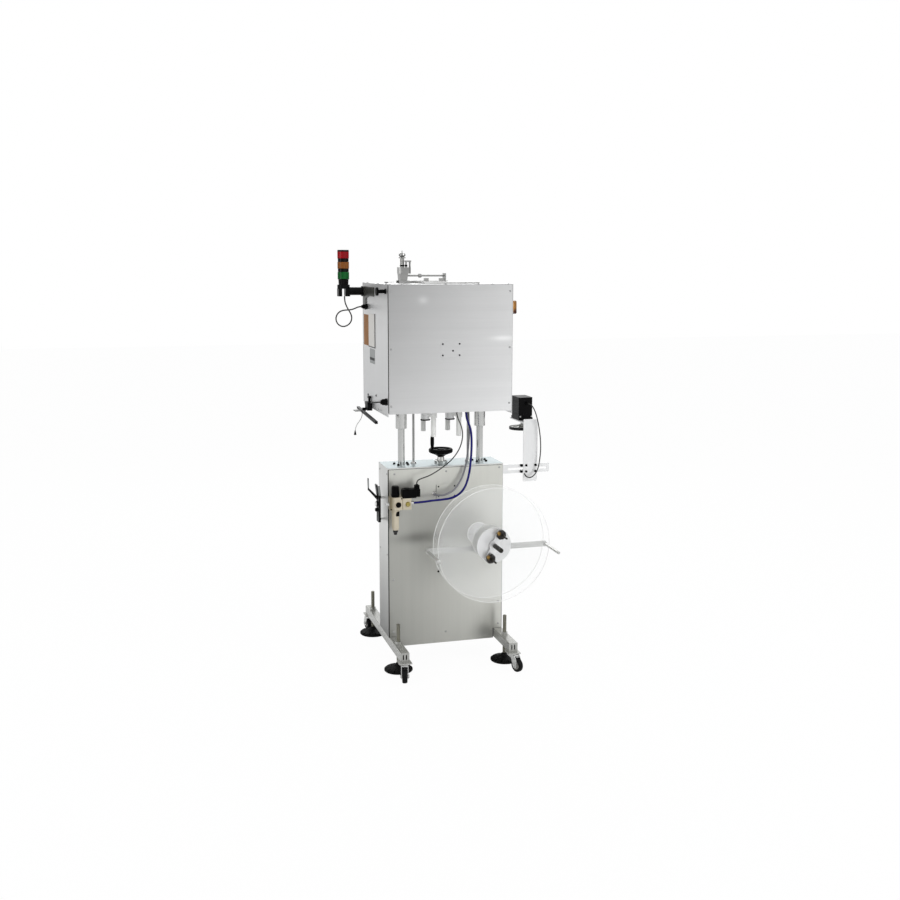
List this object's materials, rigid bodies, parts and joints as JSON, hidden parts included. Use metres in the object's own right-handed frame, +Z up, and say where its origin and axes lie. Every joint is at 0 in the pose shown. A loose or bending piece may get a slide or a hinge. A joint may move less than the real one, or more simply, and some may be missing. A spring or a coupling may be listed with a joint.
{
  "type": "shrink sleeve applicator",
  "caption": "Shrink sleeve applicator head raised by a handwheel on columns, over a wheeled cabinet with a film reel.",
  "frame": {"origin": "middle of the machine's floor area, on the floor", "axes": "+Z up, -Y towards the film reel, +X towards the feed motor"},
  "size_m": [0.9048, 0.877, 1.814],
  "materials": {
    "stainless_sheet": "fine satin",
    "steel_tube": "brushed",
    "ground_steel": "ground",
    "zinc_steel": "bright zinc",
    "bright_aluminium": "satin anodised",
    "nickel": "nickel plated",
    "black_metal": "black, satin",
    "black_plastic": "moulded",
    "grey_plastic": "moulded",
    "switch_plastic": "moulded",
    "black_rubber": "matt",
    "black_rubber_foot": "matt",
    "tyre": "matt",
    "clear_plate": "polished",
    "lens": "polished",
    "blue_tube": "extruded",
    "grey_cable": "extruded",
    "black_cable": "extruded"
  },
  "bodies": {
    "frame": {"skids": "steel_tube", "cabinet_shell": "stainless_sheet", "cabinet_panel": "stainless_sheet", "lift_columns": "ground_steel", "drive_bearings": "bright_aluminium", "drive_belt": "black_rubber", "reel_housing": "bright_aluminium", "film_guide": "ground_steel", "air_regulator": "grey_plastic", "shutoff_valve": "black_plastic", "air_fittings": "nickel", "clamp_bracket": "black_metal", "feed_bar": "bright_aluminium", "feed_bracket": "bright_aluminium", "feed_motor": "black_metal", "air_hose": "blue_tube", "head_cable": "grey_cable", "valve_cable": "black_cable", "feed_cable": "black_cable"},
    "head": {"head_base_plate": "bright_aluminium", "head_cover": "stainless_sheet", "head_rear_panel": "stainless_sheet", "lift_bearings": "bright_aluminium", "sleeve_guides": "ground_steel", "tower_arm": "black_metal", "signal_tower": "lens", "film_opener": "ground_steel", "opener_bracket": "bright_aluminium", "cable_glands": "grey_plastic", "sensor_arm": "black_metal", "tower_cable": "grey_cable", "sensor_cable": "black_cable"},
    "door": {"head_door": "stainless_sheet"},
    "isolator": {"isolator_switch": "switch_plastic"},
    "roller_left": {"drive_roller_left": "black_rubber"},
    "roller_right": {"drive_roller_right": "black_rubber"},
    "wheel": {"handwheel": "black_plastic"},
    "grip": {"crank_grip": "black_plastic"},
    "screw_left": {"lead_screw_left": "ground_steel"},
    "screw_right": {"lead_screw_right": "ground_steel"},
    "reel": {"reel_hub": "ground_steel", "reel_disc_rear": "clear_plate"},
    "reel_slide": {"reel_disc_front": "clear_plate", "reel_clamp_bar": "bright_aluminium"},
    "knob_upper": {"reel_knob_upper": "black_plastic"},
    "knob_lower": {"reel_knob_lower": "black_plastic"},
    "pressure_knob": {"regulator_knob": "black_plastic"},
    "feed": {"feed_wheel": "bright_aluminium"},
    "fork_front_left": {"caster_fork_front_left": "zinc_steel"},
    "roll_front_left": {"caster_wheel_front_left": "tyre"},
    "fork_front_right": {"caster_fork_front_right": "zinc_steel"},
    "roll_front_right": {"caster_wheel_front_right": "tyre"},
    "fork_rear_left": {"caster_fork_rear_left": "zinc_steel"},
    "roll_rear_left": {"caster_wheel_rear_left": "tyre"},
    "fork_rear_right": {"caster_fork_rear_right": "zinc_steel"},
    "roll_rear_right": {"caster_wheel_rear_right": "tyre"},
    "foot_front_left": {"foot_front_left": "black_rubber_foot"},
    "foot_front_right": {"foot_front_right": "black_rubber_foot"},
    "foot_rear_left": {"foot_rear_left": "black_rubber_foot"},
    "foot_rear_right": {"foot_rear_right": "black_rubber_foot"}
  },
  "joints": [
    {"name": "head_lift", "type": "slide", "parent": "frame", "child": "head", "axis": [0, 0, 1], "range_m": [-0.08, 0.15], "deforming": ["air_hose", "head_cable", "valve_cable"]},
    {"name": "handwheel_turn", "type": "hinge", "parent": "frame", "child": "wheel", "pos_m": [-0.047, -0.02, 0.938], "axis": [0, 0, 1], "range_deg": [-5430, 2910]},
    {"name": "crank_spin", "type": "hinge", "parent": "wheel", "child": "grip", "pos_m": [-0.086, -0.02, 0.97], "axis": [0, 0, 1], "continuous": true},
    {"name": "screw_left_turn", "type": "hinge", "parent": "frame", "child": "screw_left", "pos_m": [-0.172, -0.02, 1], "axis": [0, 0, 1], "range_deg": [-10860, 5820]},
    {"name": "screw_right_turn", "type": "hinge", "parent": "frame", "child": "screw_right", "pos_m": [0.078, -0.02, 1], "axis": [0, 0, 1], "range_deg": [-10860, 5820]},
    {"name": "reel_spin", "type": "hinge", "parent": "frame", "child": "reel", "pos_m": [0.1, -0.27, 0.57], "axis": [0, 1, 0], "continuous": true},
    {"name": "reel_width", "type": "slide", "parent": "reel", "child": "reel_slide", "axis": [0, -1, 0], "range_m": [-0.04, 0.055]},
    {"name": "knob_upper_turn", "type": "hinge", "parent": "reel_slide", "child": "knob_upper", "pos_m": [0.12332, -0.364, 0.62047], "axis": [0, 1, 0], "continuous": true},
    {"name": "knob_lower_turn", "type": "hinge", "parent": "reel_slide", "child": "knob_lower", "pos_m": [0.07668, -0.364, 0.51953], "axis": [0, 1, 0], "continuous": true},
    {"name": "pressure_turn", "type": "hinge", "parent": "frame", "child": "pressure_knob", "pos_m": [-0.2895, -0.165, 0.79], "axis": [0, 0, 1], "range_deg": [-720, 720]},
    {"name": "feed_spin", "type": "hinge", "parent": "frame", "child": "feed", "pos_m": [0.351, 0.03, 1.016], "axis": [0, 0, 1], "continuous": true},
    {"name": "door_swing", "type": "hinge", "parent": "head", "child": "door", "pos_m": [0.2336, 0.309, 1.4], "axis": [0, 0, -1], "range_deg": [0, 110]},
    {"name": "isolator_turn", "type": "hinge", "parent": "head", "child": "isolator", "pos_m": [0.238, -0.125, 1.569], "axis": [1, 0, 0], "range_deg": [0, 90]},
    {"name": "roller_left_spin", "type": "hinge", "parent": "head", "child": "roller_left", "pos_m": [-0.2095, 0.195, 1.3], "axis": [0, 1, 0], "continuous": true},
    {"name": "roller_right_spin", "type": "hinge", "parent": "head", "child": "roller_right", "pos_m": [-0.1245, 0.195, 1.3], "axis": [0, 1, 0], "continuous": true},
    {"name": "swivel_front_left", "type": "hinge", "parent": "frame", "child": "fork_front_left", "pos_m": [-0.29, -0.32, 0.084], "axis": [0, 0, 1], "range_deg": [-110, 110]},
    {"name": "roll_front_left", "type": "hinge", "parent": "fork_front_left", "child": "roll_front_left", "pos_m": [-0.29665, -0.3513, 0.03], "axis": [0.9781, -0.2079, 0], "continuous": true},
    {"name": "swivel_front_right", "type": "hinge", "parent": "frame", "child": "fork_front_right", "pos_m": [0.196, -0.32, 0.084], "axis": [0, 0, 1], "range_deg": [-110, 110]},
    {"name": "roll_front_right", "type": "hinge", "parent": "fork_front_right", "child": "roll_front_right", "pos_m": [0.20747, -0.34987, 0.03], "axis": [0.9336, 0.3584, 0], "continuous": true},
    {"name": "swivel_rear_left", "type": "hinge", "parent": "frame", "child": "fork_rear_left", "pos_m": [-0.29, 0.377, 0.084], "axis": [0, 0, 1], "range_deg": [-50, 38]},
    {"name": "roll_rear_left", "type": "hinge", "parent": "fork_rear_left", "child": "roll_rear_left", "pos_m": [-0.29445, 0.40869, 0.03], "axis": [-0.9903, -0.1392, 0], "continuous": true},
    {"name": "swivel_rear_right", "type": "hinge", "parent": "frame", "child": "fork_rear_right", "pos_m": [0.196, 0.377, 0.084], "axis": [0, 0, 1], "range_deg": [-38, 50]},
    {"name": "roll_rear_right", "type": "hinge", "parent": "fork_rear_right", "child": "roll_rear_right", "pos_m": [0.20265, 0.4083, 0.03], "axis": [-0.9781, 0.2079, 0], "continuous": true},
    {"name": "foot_height_front_left", "type": "slide", "parent": "frame", "child": "foot_front_left", "axis": [0, 0, 1], "range_m": [-0.03, 0.04]},
    {"name": "foot_height_front_right", "type": "slide", "parent": "frame", "child": "foot_front_right", "axis": [0, 0, 1], "range_m": [-0.03, 0.04]},
    {"name": "foot_height_rear_left", "type": "slide", "parent": "frame", "child": "foot_rear_left", "axis": [0, 0, 1], "range_m": [-0.03, 0.04]},
    {"name": "foot_height_rear_right", "type": "slide", "parent": "frame", "child": "foot_rear_right", "axis": [0, 0, 1], "range_m": [-0.03, 0.04]}
  ],
  "couplings": [
    {"joint": "handwheel_turn", "follows": "head_lift", "rad_per_m": -628.32},
    {"joint": "screw_left_turn", "follows": "head_lift", "rad_per_m": -1256.6},
    {"joint": "screw_right_turn", "follows": "head_lift", "rad_per_m": -1256.6},
    {"joint": "roller_right_spin", "follows": "roller_left_spin", "ratio": -1}
  ]
}
